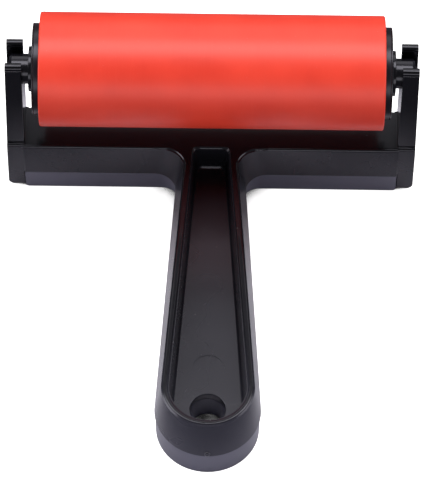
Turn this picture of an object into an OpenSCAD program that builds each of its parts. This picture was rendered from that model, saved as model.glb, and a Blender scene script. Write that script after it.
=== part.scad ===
// Hand brayer: a rubber roller on an axle that drops into two open jaws, on a T-shaped plastic frame.
// It lies on its back: the base is down, the jaws open upwards, the handle points along -Y.
// Millimetres. The origin is at the middle of the overall box, on the resting face.

/* [Roller] */
// Length of the rubber face
roller_len = 100; // [60:1:150]
// Outside diameter of the rubber sleeve
roller_d = 33.4; // [28:0.2:40]
// Thickness of the rubber sleeve
rubber_t = 3.3; // [2:0.1:5]
// Corner radius at each end of the rubber
rubber_edge = 0.5; // [0.2:0.1:1]
// How far the core tube stands out of the rubber at each end
core_proud = 1.6; // [0.5:0.1:4]
// Wall of the core tube
core_wall = 2; // [1.2:0.1:3]

/* [End caps] */
// Thickness of the rim that covers the end of the core tube
cap_rim_t = 0.5; // [0.4:0.1:2]
// Depth of the skirt that plugs into the core tube
cap_skirt = 8; // [5:0.5:15]
// Wall of the skirt, the web and the ribs
cap_wall = 1.6; // [1:0.1:2.5]
// Wall of the hub around the axle journal
hub_wall = 1.8; // [1.2:0.1:3]
// Number of ribs between hub and skirt
rib_count = 6; // [3:1:8]

/* [Axle] */
// Diameter of the steel rod
rod_d = 5; // [3:0.1:6]
// Diameter of the stub that sits in the jaws
stub_d = 8.8; // [7.5:0.1:12]
// Diameter of the shoulder collar
collar_d = 13.2; // [11:0.1:18]
// Thickness of the shoulder collar
collar_t = 0.9; // [0.5:0.1:2]
// Diameter of the journal that the end cap turns on
journal_d = 8; // [7:0.1:9]
// Length of the journal inside the end cap
journal_len = 9; // [5:0.5:12]
// Depth of the rod's seat past the shoulder collar
rod_seat = 2.5; // [1:0.1:4]
// Rounding at the outer end of the stub
stub_round = 0.7; // [0.2:0.1:1.2]

/* [Jaws] */
// Thickness of each arm, along the roller's axis
arm_t = 5; // [3.5:0.1:8]
// Free length of stub between the shoulder collar and the arm
stub_gap = 1.8; // [0.8:0.1:3]
// How far the end of the stub stays inside the arm's outer face
stub_inset = 1.2; // [0.4:0.1:2]
// Thickness of the jaw in front of the axle and behind it
jaw_t = 2.2; // [1.5:0.1:4]
// Height of the front jaw above the axle's centre
front_jaw_h = 9.6; // [6:0.1:14]
// Height of the rear jaw above the axle's centre
rear_jaw_h = 5.8; // [5:0.1:12]
// How far the round bead at each jaw's tip stands out
lip = 0.4; // [0.2:0.1:1]
// Height of the axle's centre above the crossbar
axle_rise = 27.9; // [22:0.5:45]
// How much narrower each arm is at its top, on the outer side
arm_draft = 0.5; // [0:0.1:1]

/* [Frame] */
// Height of the frame moulding above the seam
frame_h = 12.4; // [10:0.1:20]
// Depth of the recess in the handle
recess_depth = 10; // [5:0.1:11]
// Width of the rim around the recess
rim_w = 2.1; // [1.7:0.1:3]
// Chamfer along the rim's inner and outer top edges
rim_chamfer = 0.6; // [0.3:0.1:0.8]
// Rounding along the bottom of the recess
floor_round = 1.2; // [0.5:0.1:2]
// Wall of the hollow crossbar
bar_wall = 2.2; // [1.5:0.1:3]
// Step from the crossbar's front face back to the end blocks
block_step = 0.4; // [0.2:0.1:1]
// Ledge in front of each arm's foot
arm_ledge = 1.4; // [0.5:0.1:3]
// Corner radius under each end block
block_round = 2; // [1:0.1:3]
// How far the crossbar's front face leans out from its top edge down to the seam
bar_lean = 0.6; // [0:0.1:1.5]
// Rounding of the crossbar's and the end blocks' top edges
edge_round = 0.9; // [0.4:0.1:1.5]

/* [Handle] */
// Length of the handle, from the crossbar's front face to its tip
handle_len = 98.2; // [70:0.5:160]
// Half the handle's width at the crossbar, on the seam
neck_half = 9.9; // [8:0.1:14]
// Radius of the handle's round end, on the seam
tip_r = 15.3; // [12:0.1:20]
// How far the upper edge of the handle's side lies inside the seam
side_draft = 1.9; // [0.5:0.1:3]
// Radius of the fillet between crossbar and handle
neck_fillet = 6.5; // [3:0.1:9]
// Diameter of the hanging hole
hang_d = 10.2; // [5:0.1:12]
// Distance from the handle's tip to the hanging hole's centre
hang_from_tip = 14.2; // [12:0.1:18]
// Distance from the handle's tip to the centre of the round mould mark
mark_from_tip = 27.9; // [24:0.1:40]
// Diameter of the round mould mark
mark_d = 9.2; // [4:0.1:10]

/* [Base] */
// Height of the base moulding, up to the seam
base_h = 8.4; // [6:0.1:14]
// How far the base sits back from the frame's edge at the seam
base_step = 0.3; // [0.1:0.1:1]
// Height of the shadow gap along the seam
seam_gap = 0.3; // [0.2:0.1:0.6]
// Gap between the ends of the base and the frame's end blocks
end_gap = 0.1; // [0.05:0.05:0.5]
// Corner radius under each end of the base
base_round = 1.2; // [0.5:0.1:2]
// How much each side of the base narrows from the seam to the resting face
base_draft = 0.7; // [0.2:0.1:1.5]
// How much further the base's lower edge spreads round the handle's tip
toe_out = 1.2; // [0:0.1:2]
// Wall of the hollow base
base_wall = 2; // [1.5:0.1:3]
// Gap under the end blocks
block_lift = 1.2; // [0.5:0.1:3]
// Diameter of the pegs that locate the base in the frame
peg_d = 3.2; // [2:0.1:4]
// Number of pegs
peg_count = 4; // [2:2:6]

/* [Hidden] */
$fn = 64;
eps = 0.01;          // thickness of a slab that only gives a hull its level
over = 1;            // how far a cut runs past the face it opens
run_gap = 0.05;      // radial clearance of a part that turns or slides in another
seat_gap = 0.02;     // radial clearance of parts that are fixed together
face_gap = 0.3;      // end clearance between parts that turn against each other
mark_depth = 0.15;
recess_corner = 2;
recess_draft = 1.1;  // how far the recess narrows down to its floor
gate_r = 0.9;
gate_out = 0.5;

// Roller, along X
roller_r = roller_d / 2;
core_r = roller_r - rubber_t;
core_half = roller_len / 2 + core_proud;
cap_face = core_half + cap_rim_t;
collar_x = cap_face + face_gap;
collar_end = collar_x + collar_t;

// Arms, along X
arm_in = collar_end + stub_gap;
arm_out = arm_in + arm_t;
block_in = arm_in + 0.3;
bar_half = arm_out + arm_draft / 2;
stub_end = arm_out - stub_inset;

// Heights
seam_z = base_h;
top_z = base_h + frame_h;
floor_z = top_z - recess_depth;
axle_z = top_z + axle_rise;

// Depths, along Y. bar_y is the crossbar's front face; the slot is centred on the axle
slot_r = stub_d / 2 + run_gap;
arm_depth = 2 * (slot_r + jaw_t);
bar_depth = arm_ledge + arm_depth;
bar_y = (handle_len + gate_out - (arm_ledge + arm_depth / 2 + roller_r)) / 2;
axle_y = bar_y + arm_ledge + arm_depth / 2;
bar_back = bar_y + bar_depth;
tip_y = bar_y - handle_len;
side_slope = (tip_r - neck_half) / (handle_len - tip_r);
hang_y = tip_y + hang_from_tip;
mark_y = tip_y + mark_from_tip;

// One level of the handle, [half width, tip radius, tip centre's y, z]: straight sides and a round end
module tongue_level(level) {
    translate([0, level[2], level[3]]) cylinder(r = level[1], h = eps);
    translate([-level[0], bar_y, level[3]]) cube([2 * level[0], 4, eps]);
}

// The handle's tongue through a list of levels
module tongue(levels) {
    hull() for (level = levels) tongue_level(level);
}

// Centre of a fillet of radius r between the crossbar's front and a handle side of that slope
function fillet_x(half, slope, r) = half + slope * r + r * sqrt(1 + slope * slope);

// The corner web on one side of the neck, with its fillet cut out. Each level is [front, half width, z]
module neck_web(low, high, slope, r, chamfer) {
    x_low = fillet_x(low[1], slope, r);
    x_high = fillet_x(high[1], slope, r);
    run_out = 12;
    side = min(low[1], high[1]) - 1;
    difference() {
        translate([side, low[0] - r * (1 + slope), low[2]])
            cube([max(x_low, x_high) - side, r * (1 + slope) + 2, high[2] - low[2]]);
        hull() for (s = [0, run_out]) {
            translate([x_low + s, low[0] - r, low[2] - eps]) cylinder(r = r, h = eps);
            translate([x_high + s, high[0] - r, high[2]]) cylinder(r = r, h = eps);
        }
        if (chamfer > 0) {
            translate([x_high, high[0] - r, high[2] - chamfer])
                cylinder(r1 = r, r2 = r + chamfer, h = chamfer + eps);
            translate([x_high, high[0], high[2]]) rotate([90, 0, 90]) linear_extrude(run_out)
                polygon([[-eps, -chamfer], [chamfer, eps], [-eps, eps]]);
        }
    }
}

// One level of the recess, [how far its wall stands in from the rim, z]
module recess_level(level) {
    half = neck_half - side_draft - rim_w - 0.6;
    r = tip_r - side_draft - rim_w;
    wall_y = bar_y + 0.4 - max(0, level[0] - recess_draft) + max(0, -level[0]);
    translate([0, tip_y + side_draft + 0.7 + rim_w + r, level[1]]) cylinder(r = r - level[0], h = eps);
    for (s = [-1, 1])
        translate([s * (half - level[0] * 0.6 - recess_corner), wall_y - recess_corner, level[1]])
            cylinder(r = recess_corner, h = eps, $fn = 32);
}

// The recess that is cut into the handle from above, with a rounded bottom and a chamfered rim
module recess() {
    hull() {
        for (a = [0 : 30 : 90])
            recess_level([recess_draft + floor_round * (1 - cos(a)) * 0.8, floor_z + floor_round * (1 - sin(a))]);
        recess_level([0, top_z]);
    }
    hull() {
        recess_level([0, top_z - rim_chamfer]);
        recess_level([-rim_chamfer, top_z]);
    }
}

// Points of an arc, counter-clockwise
function arc(c, r, from, to) = [for (i = [0 : 6]) c + r * [cos(from + (to - from) * i / 6), sin(from + (to - from) * i / 6)]];

// Side view of the crossbar above the seam
module bar_profile() {
    polygon(concat(
        [[bar_y - bar_lean, seam_z], [bar_back, seam_z]],
        arc([bar_back - edge_round, top_z - edge_round], edge_round, 0, 90),
        arc([bar_y + edge_round, top_z - edge_round], edge_round, 90, 180)
    ));
}

// Side view of one jaw's bead, whose inner side is flush with the slot
module bead(y, side, h) {
    r = (jaw_t + lip) / 2;
    translate([y + side * (jaw_t - r), axle_z + h - r]) circle(r = r);
}

// Side view of one arm: foot, front jaw, rear jaw and the open slot between them
module arm_profile() {
    front = axle_y - arm_depth / 2;
    bead_r = (jaw_t + lip) / 2;
    difference() {
        union() {
            translate([front, top_z - 3]) square([arm_depth, axle_z - top_z + 3]);
            translate([front, top_z]) square([jaw_t, axle_z + front_jaw_h - bead_r - top_z]);
            translate([bar_back - jaw_t, top_z]) square([jaw_t, axle_z + rear_jaw_h - bead_r - top_z]);
            bead(front, 1, front_jaw_h);
            bead(bar_back, -1, rear_jaw_h);
        }
        translate([axle_y, axle_z]) circle(r = slot_r);
        translate([axle_y - slot_r, axle_z]) square([2 * slot_r, front_jaw_h + over]);
    }
}

// One arm: the side view, narrowed by the draft on its outer side
module arm() {
    intersection() {
        translate([arm_in, 0, 0]) rotate([90, 0, 90]) linear_extrude(arm_t + arm_draft) arm_profile();
        rotate([90, 0, 0]) translate([0, 0, -axle_y - roller_r])
            linear_extrude(2 * roller_r) polygon([
                [arm_in, 0], [bar_half, 0], [bar_half, top_z],
                [arm_out - arm_draft / 2, axle_z + front_jaw_h], [arm_in, axle_z + front_jaw_h]
            ]);
    }
}

// One end block: the crossbar's end below the arm, rounded under its outer corner
module end_block() {
    front = bar_y + block_step;
    intersection() {
        translate([block_in - over, 0, 0]) rotate([90, 0, 90]) linear_extrude(bar_half - block_in + over)
            polygon(concat([[front, 0], [bar_back, 0], [bar_back, top_z]],
                arc([front + edge_round, top_z - edge_round], edge_round, 90, 180)));
        translate([0, bar_back + over, 0]) rotate([90, 0, 0]) linear_extrude(bar_depth + 2 * over) {
            translate([block_in - over, seam_z]) square([bar_half - block_in + over, frame_h]);
            translate([block_in, block_lift]) square([bar_half - block_in - block_round, seam_z]);
            translate([block_in, block_lift + block_round]) square([bar_half - block_in, seam_z]);
            translate([bar_half - block_round, block_lift + block_round]) circle(r = block_round);
        }
    }
}

peg_pitch = 2 * (block_in - bar_wall) / (peg_count + 1);
peg_y = bar_y + bar_depth / 2;
peg_top = top_z - bar_wall - 3;

// Places its children at every locating peg
module at_pegs() {
    for (i = [0 : peg_count - 1])
        translate([(i - (peg_count - 1) / 2) * peg_pitch, peg_y, 0]) children();
}

// The upper moulding: crossbar, arms with their jaws, and the recessed handle
module frame() {
    top_half = neck_half - side_draft - 0.7;
    top_r = tip_r - side_draft;
    top_tip_y = tip_y + side_draft + 0.7 + top_r;
    web_front = bar_y + bar_lean * edge_round / (frame_h - edge_round);
    color("#1b1b1e") difference() {
        union() {
            translate([-block_in, 0, 0]) rotate([90, 0, 90]) linear_extrude(2 * block_in) bar_profile();
            tongue([
                [neck_half, tip_r, tip_y + tip_r, seam_z],
                [top_half, top_r, top_tip_y, top_z - rim_chamfer],
                [top_half - rim_chamfer, top_r - rim_chamfer, top_tip_y, top_z - eps]
            ]);
            for (s = [0, 1]) mirror([s, 0, 0]) {
                neck_web([bar_y - bar_lean, neck_half, seam_z], [web_front, top_half, top_z],
                         side_slope, neck_fillet, rim_chamfer);
                end_block();
                arm();
            }
            translate([0, tip_y + gate_r - gate_out, seam_z + gate_r]) sphere(r = gate_r);
        }
        recess();
        translate([-block_in + bar_wall, bar_y + bar_wall, seam_z - over])
            cube([2 * (block_in - bar_wall), bar_depth - 2 * bar_wall, frame_h - bar_wall + over]);
        translate([0, hang_y, seam_z - over]) cylinder(d = hang_d, h = frame_h);
        translate([0, mark_y, floor_z - mark_depth]) cylinder(d = mark_d, h = over);
    }
    color("#1b1b1e") at_pegs() translate([0, 0, seam_z]) difference() {
        cylinder(d = peg_d + 3, h = frame_h - bar_wall);
        translate([0, 0, -over]) cylinder(d = peg_d + 2 * run_gap, h = peg_top - seam_z + over + 0.5);
    }
}

// Flat outline inside the base, set back by d from the base's edge on the resting face
module base_inside(d) {
    r = tip_r - base_step - base_draft - d;
    half = neck_half - base_step - base_draft - d;
    cy = tip_y + tip_r;
    reach = norm([half, bar_y - cy]);
    turn = atan2(bar_y - cy, half) - acos(r / reach);
    front = bar_y - bar_lean + base_step + base_draft + d;
    translate([-block_in + end_gap + d, front])
        square([2 * (block_in - end_gap - d), bar_back - base_step - d - front]);
    translate([0, cy]) circle(r = r);
    polygon([
        [0, cy], [r * cos(turn), cy + r * sin(turn)], [half, bar_y], [half, front + 1],
        [-half, front + 1], [-half, bar_y], [-r * cos(turn), cy + r * sin(turn)]
    ]);
}

// The outer shape of the base, which narrows from the seam down to the resting face
module base_shape() {
    in = base_step + base_draft;
    front = bar_y - bar_lean + base_step;
    half = block_in - end_gap;
    top = base_h - seam_gap;
    intersection() {
        translate([-half, 0, 0]) rotate([90, 0, 90]) linear_extrude(2 * half) polygon([
            [front + base_draft, 0], [bar_back - base_step, 0], [bar_back - base_step, top], [front, top]
        ]);
        translate([0, bar_back, 0]) rotate([90, 0, 0]) linear_extrude(bar_depth + bar_lean) {
            translate([-half, base_round]) square([2 * half, base_h]);
            translate([-half + base_round, 0]) square([2 * (half - base_round), base_h]);
            for (s = [-1, 1]) translate([s * (half - base_round), base_round]) circle(r = base_round);
        }
    }
    tongue([
        [neck_half - in, tip_r - in + toe_out / 2, tip_y + tip_r - toe_out / 2, 0],
        [neck_half - base_step, tip_r - base_step, tip_y + tip_r, top - eps]
    ]);
    for (s = [0, 1]) mirror([s, 0, 0])
        neck_web([front + base_draft, neck_half - in, 0], [front, neck_half - base_step, top],
                 side_slope, neck_fillet - 1, 0);
    translate([0, 0, base_wall / 2]) linear_extrude(base_h - base_wall / 2) base_inside(0);
}

// The lower moulding: a hollow T that closes the frame from below and is the resting face
module base_cover() {
    color("#222226") difference() {
        union() {
            difference() {
                base_shape();
                translate([0, 0, base_wall]) linear_extrude(base_h) base_inside(base_wall);
            }
            translate([0, hang_y, 0]) cylinder(d = hang_d + 2 * base_wall, h = base_h);
            at_pegs() translate([0, 0, base_wall / 2]) {
                cylinder(d = peg_d + 3, h = base_h - base_wall / 2);
                cylinder(d = peg_d, h = peg_top - base_wall / 2);
            }
        }
        translate([0, hang_y, -over]) cylinder(d = hang_d, h = base_h + 2 * over);
    }
}

// Places its children on the roller's axis, with local Z along X
module on_axis() {
    translate([0, axle_y, axle_z]) rotate([0, 90, 0]) children();
}

// The steel rod that ties the two axle ends together
module axle_rod() {
    half = collar_end + rod_seat - seat_gap;
    chamfer = 0.5;
    color("#b9bcc0") on_axis() rotate_extrude() polygon([
        [0, -half], [rod_d / 2 - chamfer, -half], [rod_d / 2, -half + chamfer],
        [rod_d / 2, half - chamfer], [rod_d / 2 - chamfer, half], [0, half]
    ]);
}

// One axle end: the journal inside the cap, the shoulder collar, and the stub that sits in the jaws
module axle_end() {
    journal_in = collar_x - journal_len;
    color("#202024") on_axis() difference() {
        union() {
            translate([0, 0, journal_in]) cylinder(d = journal_d, h = journal_len + collar_t / 2);
            translate([0, 0, collar_x]) cylinder(d = collar_d, h = collar_t);
            translate([0, 0, collar_end - collar_t / 2])
                cylinder(d = stub_d, h = stub_end - stub_round - collar_end + collar_t / 2);
            translate([0, 0, stub_end - stub_round])
                cylinder(d1 = stub_d, d2 = stub_d - 2 * stub_round, h = stub_round);
        }
        translate([0, 0, journal_in - over])
            cylinder(d = rod_d + 2 * seat_gap, h = collar_end + rod_seat - journal_in + over);
    }
}

// The plastic tube that carries the rubber
module core_tube() {
    color("#26262a") on_axis() difference() {
        translate([0, 0, -core_half]) cylinder(r = core_r, h = 2 * core_half);
        translate([0, 0, -core_half - over]) cylinder(r = core_r - core_wall, h = 2 * (core_half + over));
    }
}

// The rubber sleeve, with softened end corners
module rubber_sleeve() {
    inner = core_r + seat_gap;
    half = roller_len / 2;
    corner = [for (a = [0 : 15 : 90]) [roller_r - rubber_edge * (1 - cos(a)), rubber_edge * (1 - sin(a))]];
    color("#e8402f") on_axis() rotate_extrude() polygon(concat(
        [[inner, -half]], [for (i = [len(corner) - 1 : -1 : 0]) [corner[i][0], -half + corner[i][1]]],
        [for (p = corner) [p[0], half - p[1]]], [[inner, half]]
    ));
}

// One end cap: rim over the tube's end, skirt inside it, web, ribs and the hub that turns on the journal
module end_cap() {
    skirt_r = core_r - core_wall - seat_gap;
    bore_r = journal_d / 2 + run_gap;
    hub_r = bore_r + hub_wall;
    color("#202024") on_axis() difference() {
        union() {
            translate([0, 0, core_half]) cylinder(r = core_r, h = cap_rim_t);
            translate([0, 0, cap_face - cap_wall]) cylinder(r = skirt_r, h = cap_wall);
            translate([0, 0, core_half - cap_skirt]) {
                difference() {
                    cylinder(r = skirt_r, h = cap_skirt);
                    translate([0, 0, -over]) cylinder(r = skirt_r - cap_wall, h = cap_skirt + over);
                }
                cylinder(r = hub_r, h = cap_skirt);
                for (i = [0 : rib_count - 1]) rotate([0, 0, 360 * i / rib_count])
                    translate([hub_r - 0.5, -cap_wall / 2, 1])
                        cube([skirt_r - cap_wall - hub_r + 1, cap_wall, cap_skirt - 1]);
            }
        }
        translate([0, 0, core_half - cap_skirt - over]) cylinder(r = bore_r, h = cap_skirt + cap_rim_t + 2 * over);
    }
}

frame();
base_cover();
axle_rod();
mirror([1, 0, 0]) axle_end();  // left_axle_end
axle_end();  // right_axle_end
core_tube();
rubber_sleeve();
mirror([1, 0, 0]) end_cap();  // left_end_cap
end_cap();  // right_end_cap
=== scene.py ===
import math

import bpy
from mathutils import Matrix, Vector


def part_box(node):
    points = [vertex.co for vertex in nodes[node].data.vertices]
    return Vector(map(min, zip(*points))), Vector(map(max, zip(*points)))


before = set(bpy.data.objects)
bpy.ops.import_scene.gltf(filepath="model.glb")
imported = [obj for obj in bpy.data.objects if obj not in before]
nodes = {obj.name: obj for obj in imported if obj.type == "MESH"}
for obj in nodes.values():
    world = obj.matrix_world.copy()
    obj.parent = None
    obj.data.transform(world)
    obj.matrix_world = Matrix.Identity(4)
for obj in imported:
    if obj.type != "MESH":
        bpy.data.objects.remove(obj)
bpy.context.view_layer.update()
mm = 0.001
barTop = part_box("rubber_sleeve")[0].z - 11.2 * mm  # the crossbar's top face, under the roller


def addNode(tree, kind, inputs=None, **settings):
    node = tree.nodes.new(kind)
    for name, value in settings.items():
        setattr(node, name, value)
    for socket, value in (inputs or {}).items():
        if isinstance(value, bpy.types.NodeSocket):
            tree.links.new(value, node.inputs[socket])
        else:
            node.inputs[socket].default_value = value
    return node


def ramp(tree, value, stops):
    node = addNode(tree, "ShaderNodeValToRGB", {"Fac": value})
    for i, (place, shade) in enumerate(stops):
        stop = node.color_ramp.elements[i] if i < 2 else node.color_ramp.elements.new(place)
        stop.position = place
        stop.color = (shade, shade, shade, 1)
    return node.outputs["Color"]


def mixColour(tree, amount, a, b):
    # the mix node has one set of sockets for each kind of data; 0, 6 and 7 are the ones for colours
    node = addNode(tree, "ShaderNodeMix", data_type="RGBA")
    for socket, value in ((0, amount), (6, a), (7, b)):
        if isinstance(value, bpy.types.NodeSocket):
            tree.links.new(value, node.inputs[socket])
        else:
            node.inputs[socket].default_value = value
    return node.outputs[2]


def calc(tree, operation, a, b=0.0, clamp=False):
    node = addNode(tree, "ShaderNodeMath", {0: a, 1: b}, operation=operation, use_clamp=clamp)
    return node.outputs[0]


def fade(tree, value, start, full):
    node = addNode(tree, "ShaderNodeMapRange", {"Value": value, "From Min": start, "From Max": full})
    return node.outputs["Result"]


def newGroup(name, inputs, outputs):
    group = bpy.data.node_groups.new(name, "ShaderNodeTree")
    for label, kind, value in inputs:
        socket = group.interface.new_socket(label, in_out="INPUT", socket_type=kind)
        socket.default_value = value
    for label, kind in outputs:
        group.interface.new_socket(label, in_out="OUTPUT", socket_type=kind)
    return group, group.nodes.new("NodeGroupInput"), group.nodes.new("NodeGroupOutput")


noiseScale = {  # waves per metre of each shared effect
    "peel": 2600.0,
    "sink": 55.0,
    "scratch": 1500.0,
    "scratchPatch": 90.0,
    "rubBreak": 420.0,
    "speck": 500.0,
}


def makeMouldGrain():
    # the very fine orange peel of a moulded face, and slow waves where the wall sank as it cooled
    group, given, out = newGroup(
        "mouldGrain",
        [("Peel", "NodeSocketFloat", 1.0), ("Sink", "NodeSocketFloat", 1.0)],
        [("Height", "NodeSocketFloat"), ("Cloud", "NodeSocketFloat")],
    )
    place = addNode(group, "ShaderNodeTexCoord").outputs["Object"]
    peel = addNode(group, "ShaderNodeTexNoise", {"Vector": place, "Scale": noiseScale["peel"], "Detail": 2.0})
    sink = addNode(group, "ShaderNodeTexNoise", {"Vector": place, "Scale": noiseScale["sink"], "Detail": 1.0})
    fine = calc(group, "MULTIPLY", peel.outputs["Fac"], given.outputs["Peel"])
    slow = calc(group, "MULTIPLY", sink.outputs["Fac"], given.outputs["Sink"])
    group.links.new(calc(group, "ADD", fine, slow), out.inputs["Height"])
    group.links.new(sink.outputs["Fac"], out.inputs["Cloud"])
    return group


def makeScuffs():
    # hairline scratches from handling: noise stretched along one direction, kept only at its peaks
    group, given, out = newGroup(
        "scuffs",
        [
            ("Scale", "NodeSocketFloat", 1.0),
            ("Amount", "NodeSocketFloat", 0.5),
            ("Turn", "NodeSocketFloat", 0.5),
        ],
        [("Mask", "NodeSocketFloat")],
    )
    place = addNode(group, "ShaderNodeTexCoord").outputs["Object"]
    turned = addNode(group, "ShaderNodeVectorRotate",
                     {"Vector": place, "Axis": (0.3, 0.2, 0.9), "Angle": given.outputs["Turn"]})
    stretched = addNode(group, "ShaderNodeMapping", {"Vector": turned.outputs[0], "Scale": (1, 0.04, 0.6)})
    lineScale = calc(group, "MULTIPLY", given.outputs["Scale"], noiseScale["scratch"])
    lines = addNode(group, "ShaderNodeTexNoise", {"Vector": stretched.outputs[0], "Scale": lineScale})
    patches = addNode(group, "ShaderNodeTexNoise",
                      {"Vector": place, "Scale": noiseScale["scratchPatch"], "Detail": 3.0})
    fine = ramp(group, lines.outputs["Fac"], [(0.66, 0.0), (0.72, 1.0)])
    where = ramp(group, patches.outputs["Fac"], [(0.48, 0.0), (0.62, 1.0)])
    both = calc(group, "MULTIPLY", fine, where)
    group.links.new(calc(group, "MULTIPLY", both, given.outputs["Amount"]), out.inputs["Mask"])
    return group


def makeEdgeRub():
    # edges worn by hands and bench, and also lightened as a painted highlight along rounded edges: where the
    # rounded normal leaves the true one
    group, given, out = newGroup(
        "edgeRubAndGlint",
        [("Width", "NodeSocketFloat", 0.0006), ("Amount", "NodeSocketFloat", 0.5)],
        [("Mask", "NodeSocketFloat")],
    )
    soft = addNode(group, "ShaderNodeBevel", {"Radius": given.outputs["Width"]}, samples=6)
    plain = addNode(group, "ShaderNodeNewGeometry").outputs["Normal"]
    dot = addNode(group, "ShaderNodeVectorMath", {0: soft.outputs[0], 1: plain}, operation="DOT_PRODUCT")
    bend = calc(group, "SUBTRACT", 1.0, dot.outputs["Value"])
    place = addNode(group, "ShaderNodeTexCoord").outputs["Object"]
    broken = addNode(group, "ShaderNodeTexNoise",
                     {"Vector": place, "Scale": noiseScale["rubBreak"], "Detail": 4.0})
    mask = calc(group, "MULTIPLY", ramp(group, bend, [(0.02, 0.0), (0.2, 1.0)]),
                ramp(group, broken.outputs["Fac"], [(0.35, 0.2), (0.65, 1.0)]))
    group.links.new(calc(group, "MULTIPLY", mask, given.outputs["Amount"]), out.inputs["Mask"])
    return group


def makeLint():
    # single specks of dust and lint that cling to plastic and rubber
    group, given, out = newGroup(
        "lint",
        [("Scale", "NodeSocketFloat", 1.0), ("Amount", "NodeSocketFloat", 0.5)],
        [("Mask", "NodeSocketFloat")],
    )
    place = addNode(group, "ShaderNodeTexCoord").outputs["Object"]
    speckScale = calc(group, "MULTIPLY", given.outputs["Scale"], noiseScale["speck"])
    specks = addNode(group, "ShaderNodeTexVoronoi", {"Vector": place, "Scale": speckScale})
    chance = addNode(group, "ShaderNodeSeparateColor", {"Color": specks.outputs["Color"]})
    near = ramp(group, specks.outputs["Distance"], [(0.05, 1.0), (0.16, 0.0)])
    some = ramp(group, chance.outputs[0], [(0.9, 0.0), (0.93, 1.0)])
    mask = calc(group, "MULTIPLY", calc(group, "MULTIPLY", near, some), given.outputs["Amount"])
    group.links.new(mask, out.inputs["Mask"])
    return group


mouldGrain = makeMouldGrain()
scuffs = makeScuffs()
edgeRubAndGlint = makeEdgeRub()
lint = makeLint()


def placeGroup(tree, group, **values):
    return addNode(tree, "ShaderNodeGroup", values, node_tree=group)


def newMaterial(name):
    material = bpy.data.materials.new(name)
    material.use_nodes = True
    tree = material.node_tree
    return material, tree, tree.nodes["Principled BSDF"]


# polished above the crossbar, made duller by hands and bench below it, where the colour is also painted
# lighter: a painted reflection of the pale floor
blackPlastic = {
    "frame": {
        "tint": 0.002, "dullAndPaintedLight": 0.009, "rough": 0.14, "dulledRough": 0.30,
        "peel": 0.5, "sink": 3.0, "rubAndGlint": 0.5, "paintedTipSheen": 1.0,
    },
    "baseCover": {
        "tint": 0.012, "dullAndPaintedLight": 0.100, "rough": 0.28, "dulledRough": 0.34,
        "peel": 0.6, "sink": 3.0, "rubAndGlint": 0.6, "paintedTipSheen": 0.0,
    },
    "endCap": {
        "tint": 0.005, "dullAndPaintedLight": 0.008, "rough": 0.25, "dulledRough": 0.32,
        "peel": 0.8, "sink": 1.0, "rubAndGlint": 0.4, "paintedTipSheen": 0.0,
    },
    "axleEnd": {
        "tint": 0.004, "dullAndPaintedLight": 0.006, "rough": 0.20, "dulledRough": 0.28,
        "peel": 0.5, "sink": 0.6, "rubAndGlint": 0.5, "paintedTipSheen": 0.0,
    },
    "coreTube": {
        "tint": 0.006, "dullAndPaintedLight": 0.009, "rough": 0.30, "dulledRough": 0.38,
        "peel": 1.0, "sink": 1.0, "rubAndGlint": 0.3, "paintedTipSheen": 0.0,
    },
}
plasticShared = {  # what all the black pieces have in common
    "tipSheenShade": 0.034,  # how grey the painted reflection makes the sides of the handle's tip
    "tipSheenStart": -28 * mm,  # where the painted reflection begins and is full, along the handle
    "tipSheenFull": -56 * mm,
    "bareAndGlintShade": (0.035, 0.034, 0.040, 1),  # the plastic where it is scratched or worn, and the painted highlight on rounded edges
    "dust": (0.2, 0.19, 0.18, 1),
    "dullAndLightStart": barTop + 0.2 * mm,  # the height at which the polish ends and the painted lighter shade begins
    "dullAndLightFull": barTop - 0.8 * mm,
    "ior": 1.49,
    "glossTint": (0.90, 0.88, 1.0, 1),
}


def violetBlack(shade):
    return (shade, shade * 0.97, shade * 1.4, 1)


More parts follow.
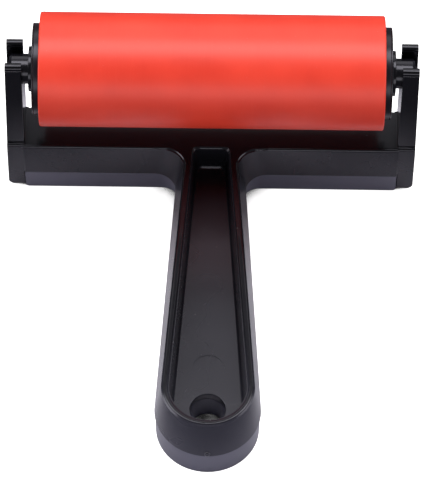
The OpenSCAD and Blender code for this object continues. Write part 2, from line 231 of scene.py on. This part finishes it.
def makeBlackPlastic(name):
    look = blackPlastic[name]
    shared = plasticShared
    material, tree, shader = newMaterial(name + "Plastic")
    grain = placeGroup(tree, mouldGrain, Peel=look["peel"], Sink=look["sink"])
    scratches = placeGroup(tree, scuffs, Scale=1.0, Amount=0.35, Turn=0.7)
    crossed = placeGroup(tree, scuffs, Scale=0.7, Amount=0.25, Turn=2.1)
    rubbedAndGlint = placeGroup(tree, edgeRubAndGlint, Width=0.5 * mm, Amount=look["rubAndGlint"])
    specks = placeGroup(tree, lint, Scale=1.0, Amount=0.12)
    place = addNode(tree, "ShaderNodeTexCoord").outputs["Object"]
    height = addNode(tree, "ShaderNodeSeparateXYZ", {"Vector": place}).outputs["Z"]
    low = fade(tree, height, shared["dullAndLightStart"], shared["dullAndLightFull"])
    uneven = calc(tree, "ADD", calc(tree, "MULTIPLY", grain.outputs["Cloud"], 0.5), 0.6)
    dullAndPaintedLight = calc(tree, "MULTIPLY", low, uneven)
    hair = calc(tree, "ADD", scratches.outputs["Mask"], crossed.outputs["Mask"], clamp=True)
    # below the crossbar's top the colour is mixed towards the lighter shade: a painted reflection of the pale
    # floor, together with the duller finish there
    colour = mixColour(tree, dullAndPaintedLight, violetBlack(look["tint"]), violetBlack(look["dullAndPaintedLight"]))
    # rounded edges are lightened: partly wear, partly a painted highlight
    colour = mixColour(tree, calc(tree, "MULTIPLY", rubbedAndGlint.outputs["Mask"], 0.5), colour, shared["bareAndGlintShade"])
    colour = mixColour(tree, calc(tree, "MULTIPLY", hair, 0.3), colour, shared["bareAndGlintShade"])
    colour = mixColour(tree, specks.outputs["Mask"], colour, shared["dust"])
    # painted reflection: the upright sides of the handle's tip are coloured lighter grey, standing in for the
    # sheen they catch
    along = addNode(tree, "ShaderNodeSeparateXYZ", {"Vector": place}).outputs["Y"]
    tip = fade(tree, along, shared["tipSheenStart"], shared["tipSheenFull"])
    normal = addNode(tree, "ShaderNodeNewGeometry").outputs["Normal"]
    upward = addNode(tree, "ShaderNodeSeparateXYZ", {"Vector": normal}).outputs["Z"]
    side = fade(tree, upward, 0.97, 0.6)
    paintedTipSheen = calc(tree, "MULTIPLY", calc(tree, "MULTIPLY", tip, side), look["paintedTipSheen"])
    colour = mixColour(tree, paintedTipSheen, colour, violetBlack(shared["tipSheenShade"]))
    tree.links.new(colour, shader.inputs["Base Color"])
    rough = addNode(tree, "ShaderNodeMapRange",
                    {"Value": dullAndPaintedLight, "To Min": look["rough"], "To Max": look["dulledRough"]}).outputs[0]
    rough = calc(tree, "ADD", rough, calc(tree, "MULTIPLY", hair, 0.18))
    rough = calc(tree, "ADD", rough, calc(tree, "MULTIPLY", specks.outputs["Mask"], 0.8), clamp=True)
    tree.links.new(rough, shader.inputs["Roughness"])
    relief = calc(tree, "SUBTRACT", grain.outputs["Height"], calc(tree, "MULTIPLY", hair, 0.6))
    bump = addNode(tree, "ShaderNodeBump", {"Height": relief, "Strength": 0.35, "Distance": 0.02 * mm})
    tree.links.new(bump.outputs[0], shader.inputs["Normal"])
    shader.inputs["IOR"].default_value = shared["ior"]
    shader.inputs["Specular Tint"].default_value = shared["glossTint"]
    return material


redRubber = {
    "deep": (0.72, 0.038, 0.018, 1),
    "body": (0.84, 0.052, 0.025, 1),
    "bloomAndGlint": (0.82, 0.085, 0.050, 1),
    "dust": (0.75, 0.45, 0.4, 1),
    "rough": 0.36,
}


def makeRedRubber():
    look = redRubber
    material, tree, shader = newMaterial("redRubber")
    place = addNode(tree, "ShaderNodeTexCoord").outputs["Object"]
    # the grinding wheel leaves fine rings round the roller, so the noise is squeezed along X
    rings = addNode(tree, "ShaderNodeMapping", {"Vector": place, "Scale": (1, 0.05, 0.05)})
    ground = addNode(tree, "ShaderNodeTexNoise", {"Vector": rings.outputs[0], "Scale": 1800.0, "Detail": 3.0})
    crumb = addNode(tree, "ShaderNodeTexNoise", {"Vector": place, "Scale": 2400.0, "Detail": 2.0})
    mottle = addNode(tree, "ShaderNodeTexNoise", {"Vector": place, "Scale": 60.0, "Detail": 4.0})
    specks = placeGroup(tree, lint, Scale=1.6, Amount=0.12)
    rubbedAndGlint = placeGroup(tree, edgeRubAndGlint, Width=0.6 * mm, Amount=0.6)
    cloudy = ramp(tree, mottle.outputs["Fac"], [(0.3, 0.0), (0.7, 1.0)])
    colour = mixColour(tree, cloudy, look["deep"], look["body"])
    streak = ramp(tree, ground.outputs["Fac"], [(0.5, 0.0), (0.8, 0.12)])
    colour = mixColour(tree, streak, colour, look["bloomAndGlint"])
    # rounded edges are lightened: partly wear, partly a painted highlight
    colour = mixColour(tree, calc(tree, "MULTIPLY", rubbedAndGlint.outputs["Mask"], 0.5), colour, look["bloomAndGlint"])
    colour = mixColour(tree, specks.outputs["Mask"], colour, look["dust"])
    tree.links.new(colour, shader.inputs["Base Color"])
    rough = calc(tree, "ADD", calc(tree, "MULTIPLY", mottle.outputs["Fac"], 0.06), look["rough"])
    rough = calc(tree, "ADD", rough, calc(tree, "MULTIPLY", crumb.outputs["Fac"], 0.05), clamp=True)
    tree.links.new(rough, shader.inputs["Roughness"])
    relief = calc(tree, "ADD", calc(tree, "MULTIPLY", ground.outputs["Fac"], 0.3),
                  calc(tree, "MULTIPLY", crumb.outputs["Fac"], 0.5))
    bump = addNode(tree, "ShaderNodeBump", {"Height": relief, "Strength": 0.25, "Distance": 0.02 * mm})
    tree.links.new(bump.outputs[0], shader.inputs["Normal"])
    shader.inputs["IOR"].default_value = 1.5
    shader.inputs["Subsurface Weight"].default_value = 0.05
    shader.inputs["Subsurface Radius"].default_value = (1.2 * mm, 0.4 * mm, 0.3 * mm)
    return material


drawnSteel = {"tint": (0.56, 0.56, 0.58, 1), "dark": (0.30, 0.30, 0.32, 1), "rough": 0.24}


def makeDrawnSteel():
    look = drawnSteel
    material, tree, shader = newMaterial("drawnSteel")
    place = addNode(tree, "ShaderNodeTexCoord").outputs["Object"]
    along = addNode(tree, "ShaderNodeMapping", {"Vector": place, "Scale": (0.02, 1, 1)})
    lines = addNode(tree, "ShaderNodeTexNoise", {"Vector": along.outputs[0], "Scale": 4000.0, "Detail": 3.0})
    stains = addNode(tree, "ShaderNodeTexNoise", {"Vector": place, "Scale": 150.0, "Detail": 5.0})
    stained = ramp(tree, stains.outputs["Fac"], [(0.45, 0.0), (0.75, 0.6)])
    colour = mixColour(tree, stained, look["tint"], look["dark"])
    tree.links.new(colour, shader.inputs["Base Color"])
    rough = calc(tree, "ADD", calc(tree, "MULTIPLY", lines.outputs["Fac"], 0.2), look["rough"])
    tree.links.new(rough, shader.inputs["Roughness"])
    bump = addNode(tree, "ShaderNodeBump",
                   {"Height": lines.outputs["Fac"], "Strength": 0.3, "Distance": 0.01 * mm})
    tree.links.new(bump.outputs[0], shader.inputs["Normal"])
    shader.inputs["Metallic"].default_value = 1.0
    return material


softEdges = {  # each piece's rounding, and the shortest edge that is rounded, in millimetres
    "frame": {"round": 0.25, "least": 0.5},
    "base_cover": {"round": 0.2, "least": 0.0},
    "left_axle_end": {"round": 0.12, "least": 0.0},
    "right_axle_end": {"round": 0.12, "least": 0.0},
    "core_tube": {"round": 0.15, "least": 0.0},
    "left_end_cap": {"round": 0.12, "least": 0.0},
    "right_end_cap": {"round": 0.12, "least": 0.0},
    "axle_rod": {"round": 0.1, "least": 0.0},
}
edgeRules = {
    "rounded": 37,  # degrees that an edge must turn by to be rounded
    "crease": 25,  # degrees that an edge must turn by to be shaded as a crease
    "lowStep": 0.3 * mm,  # a wall lower than this keeps its edges as they are
    "level": 0.99,  # how nearly upright the normal of a level face is
    "weld": 0.002 * mm,
    "flat": 0.4,  # degrees that merged faces may differ by
    "segments": 3,
}


def markEdges(mesh, least):
    # the mesh comes split along every face boundary, so the two sides of an edge are matched by place;
    # level faces keep their inner edges, because a level face with a hole in it can't be merged into one
    places = [tuple(round(c / mm, 3) for c in vertex.co) for vertex in mesh.vertices]
    sides = {}
    for face in mesh.polygons:
        heights = [mesh.vertices[v].co.z for v in face.vertices]
        step = abs(face.normal.z) < 0.5 and max(heights) - min(heights) < edgeRules["lowStep"]
        for a, b in face.edge_keys:
            sides.setdefault(frozenset((places[a], places[b])), []).append((face.normal, step))
    weights = mesh.attributes.new("bevel_weight_edge", "FLOAT", "EDGE")
    for edge in mesh.edges:
        a, b = edge.vertices
        touching = sides.get(frozenset((places[a], places[b])), [])
        turn = max((math.degrees(p.angle(q, 0)) for p, _ in touching for q, _ in touching), default=0)
        length = (mesh.vertices[a].co - mesh.vertices[b].co).length
        low = any(step for _, step in touching)
        edge.use_edge_sharp = turn > edgeRules["crease"]
        edge.use_seam = all(abs(normal.z) > edgeRules["level"] for normal, _ in touching)
        weights.data[edge.index].value = turn > edgeRules["rounded"] and length > least * mm and not low


def softenEdges(name):
    piece = nodes[name]
    look = softEdges[name]
    weld = piece.modifiers.new("weld", "WELD")
    weld.merge_threshold = edgeRules["weld"]
    flatten = piece.modifiers.new("flatten", "DECIMATE")
    flatten.decimate_type = "DISSOLVE"
    flatten.angle_limit = math.radians(edgeRules["flat"])
    flatten.delimit = {"SHARP", "SEAM"}
    edge = piece.modifiers.new("edge", "BEVEL")
    edge.width = look["round"] * mm
    edge.segments = edgeRules["segments"]
    edge.limit_method = "WEIGHT"
    edge.use_clamp_overlap = False
    edge.miter_outer = "MITER_ARC"
    shade = piece.modifiers.new("shade", "WEIGHTED_NORMAL")
    shade.keep_sharp = True
    for face in piece.data.polygons:
        face.use_smooth = True
    markEdges(piece.data, look["least"])


def finishPiece(name, material):
    slots = nodes[name].data.materials
    slots.clear()
    slots.append(material)


for name in softEdges:
    softenEdges(name)
print("edges softened:", len(softEdges))

finishes = {
    "frame": makeBlackPlastic("frame"),
    "base_cover": makeBlackPlastic("baseCover"),
    "axle_rod": makeDrawnSteel(),
    "core_tube": makeBlackPlastic("coreTube"),
    "rubber_sleeve": makeRedRubber(),
}
capPlastic = makeBlackPlastic("endCap")
axlePlastic = makeBlackPlastic("axleEnd")
for side in ("left", "right"):
    finishes[side + "_end_cap"] = capPlastic
    finishes[side + "_axle_end"] = axlePlastic
for name, material in finishes.items():
    finishPiece(name, material)
print("finishes given:", len(finishes))


studio = {
    "floorSize": 6.0,
    "floorShade": (0.80, 0.80, 0.80, 1),
    "floorBounce": (0.28, 0.28, 0.30, 1),
    "floorMirror": (0.92, 0.90, 1.0, 1),
    "floorFar": (0.06, 0.06, 0.08, 1),
    "mirrorReach": 0.030,
    "floorGlow": 0.95,
    "shadowReach": 0.012,
    "shadowShade": (0.004, 0.004, 0.004, 1),
    "drop": 0.05 * mm,  # the floor lies this far under the object
    "worldShade": (1.0, 1.0, 1.0, 1),
    "worldStrength": 0.12,
}

lamps = {  # place, aim, size and power of each soft box, in metres and watts
    "overhead": {"place": (0.0, 0.2, 0.9), "aim": (0, 0.2, 0), "size": (1.6, 0.42), "power": 10.8},
    "back": {"place": (0.0, 1.0, 0.75), "aim": (0, 0, 0.05), "size": (2.4, 0.7), "power": 6.5},
    "front": {"place": (0.0, -1.2, 0.30), "aim": (0, 0, 0.02), "size": (1.8, 0.5), "power": 5.8},
    "left": {"place": (-0.9, -0.1, 0.3), "aim": (0, 0, 0.02), "size": (0.7, 0.4), "power": 3.4},
    "right": {"place": (0.9, -0.1, 0.3), "aim": (0, 0, 0.02), "size": (0.7, 0.4), "power": 2.2},
}

lens = {  # metres, degrees and millimetres
    "distance": 1.200,
    "elevation": 56.09,
    "roll": 0.74,
    "aimX": 0.0006,
    "aimY": 0.0117,
    "aimZ": 0.010,
    "focal": 305.4,
    "sensor": 36,
    "clipStart": 0.05,
    "clipEnd": 20,
}


def makeFloor():
    half = studio["floorSize"] / 2
    mesh = bpy.data.meshes.new("floor")
    corners = [(-half, -half, 0), (half, -half, 0), (half, half, 0), (-half, half, 0)]
    mesh.from_pydata(corners, [], [(0, 1, 2, 3)])
    floor = bpy.data.objects.new("floor", mesh)
    bpy.context.scene.collection.objects.link(floor)
    floor.location.z = -studio["drop"]
    material, tree, shader = newMaterial("paperFloor")
    shader.inputs["Roughness"].default_value = 0.9
    path = addNode(tree, "ShaderNodeLightPath")
    seen = path.outputs["Is Camera Ray"]
    # painted reflection: glossy rays see the floor painted pale just round the object and dark farther out,
    # standing in for the dark room beyond it
    around = addNode(tree, "ShaderNodeAmbientOcclusion", {"Distance": studio["mirrorReach"]}).outputs["AO"]
    far = ramp(tree, around, [(0.78, 0.0), (0.98, 1.0)])
    mirror = mixColour(tree, far, studio["floorMirror"], studio["floorFar"])
    shade = mixColour(tree, path.outputs["Is Glossy Ray"], studio["floorBounce"], mirror)
    # painted shadow: where the floor is closely hemmed in, as under the hanging hole, the camera sees it fade
    # to near black and stop glowing
    bare = addNode(tree, "ShaderNodeAmbientOcclusion", {"Distance": studio["shadowReach"]}).outputs["AO"]
    clear = ramp(tree, bare, [(0.24, 0.0), (0.38, 1.0)])
    shown = mixColour(tree, clear, studio["shadowShade"], studio["floorShade"])
    shade = mixColour(tree, seen, shade, shown)
    tree.links.new(shade, shader.inputs["Base Color"])
    shader.inputs["Emission Color"].default_value = (1, 1, 1, 1)
    glow = calc(tree, "MULTIPLY", calc(tree, "MULTIPLY", seen, clear), studio["floorGlow"])
    tree.links.new(glow, shader.inputs["Emission Strength"])
    mesh.materials.append(material)


def makeLamp(name):
    look = lamps[name]
    light = bpy.data.lights.new(name, "AREA")
    light.shape = "RECTANGLE"
    light.size, light.size_y = look["size"]
    light.energy = look["power"]
    lamp = bpy.data.objects.new(name, light)
    bpy.context.scene.collection.objects.link(lamp)
    place = Vector(look["place"])
    lamp.location = place
    lamp.rotation_euler = (Vector(look["aim"]) - place).to_track_quat("-Z", "Y").to_euler()


def makeWorld():
    world = bpy.data.worlds.new("studio")
    bpy.context.scene.world = world
    world.use_nodes = True
    ground = world.node_tree.nodes["Background"]
    ground.inputs["Color"].default_value = studio["worldShade"]
    ground.inputs["Strength"].default_value = studio["worldStrength"]


def makeCamera():
    tilt = math.radians(lens["elevation"])
    roll = math.radians(lens["roll"])
    ahead = Vector((0, math.cos(tilt), -math.sin(tilt)))
    up = Vector((0, math.sin(tilt), math.cos(tilt)))
    right = Vector((1, 0, 0))
    x = right * math.cos(roll) + up * math.sin(roll)
    y = up * math.cos(roll) - right * math.sin(roll)
    aim = Vector((lens["aimX"], lens["aimY"], lens["aimZ"]))
    data = bpy.data.cameras.new("camera")
    data.lens = lens["focal"]
    data.sensor_width = lens["sensor"]
    data.clip_start = lens["clipStart"]
    data.clip_end = lens["clipEnd"]
    camera = bpy.data.objects.new("camera", data)
    bpy.context.scene.collection.objects.link(camera)
    turn = Matrix((x, y, -ahead)).transposed()
    camera.matrix_world = Matrix.Translation(aim - ahead * lens["distance"]) @ turn.to_4x4()
    bpy.context.scene.camera = camera


makeFloor()
for name in lamps:
    makeLamp(name)
makeWorld()
makeCamera()
bpy.context.scene.view_settings.view_transform = "Standard"
print("studio ready")
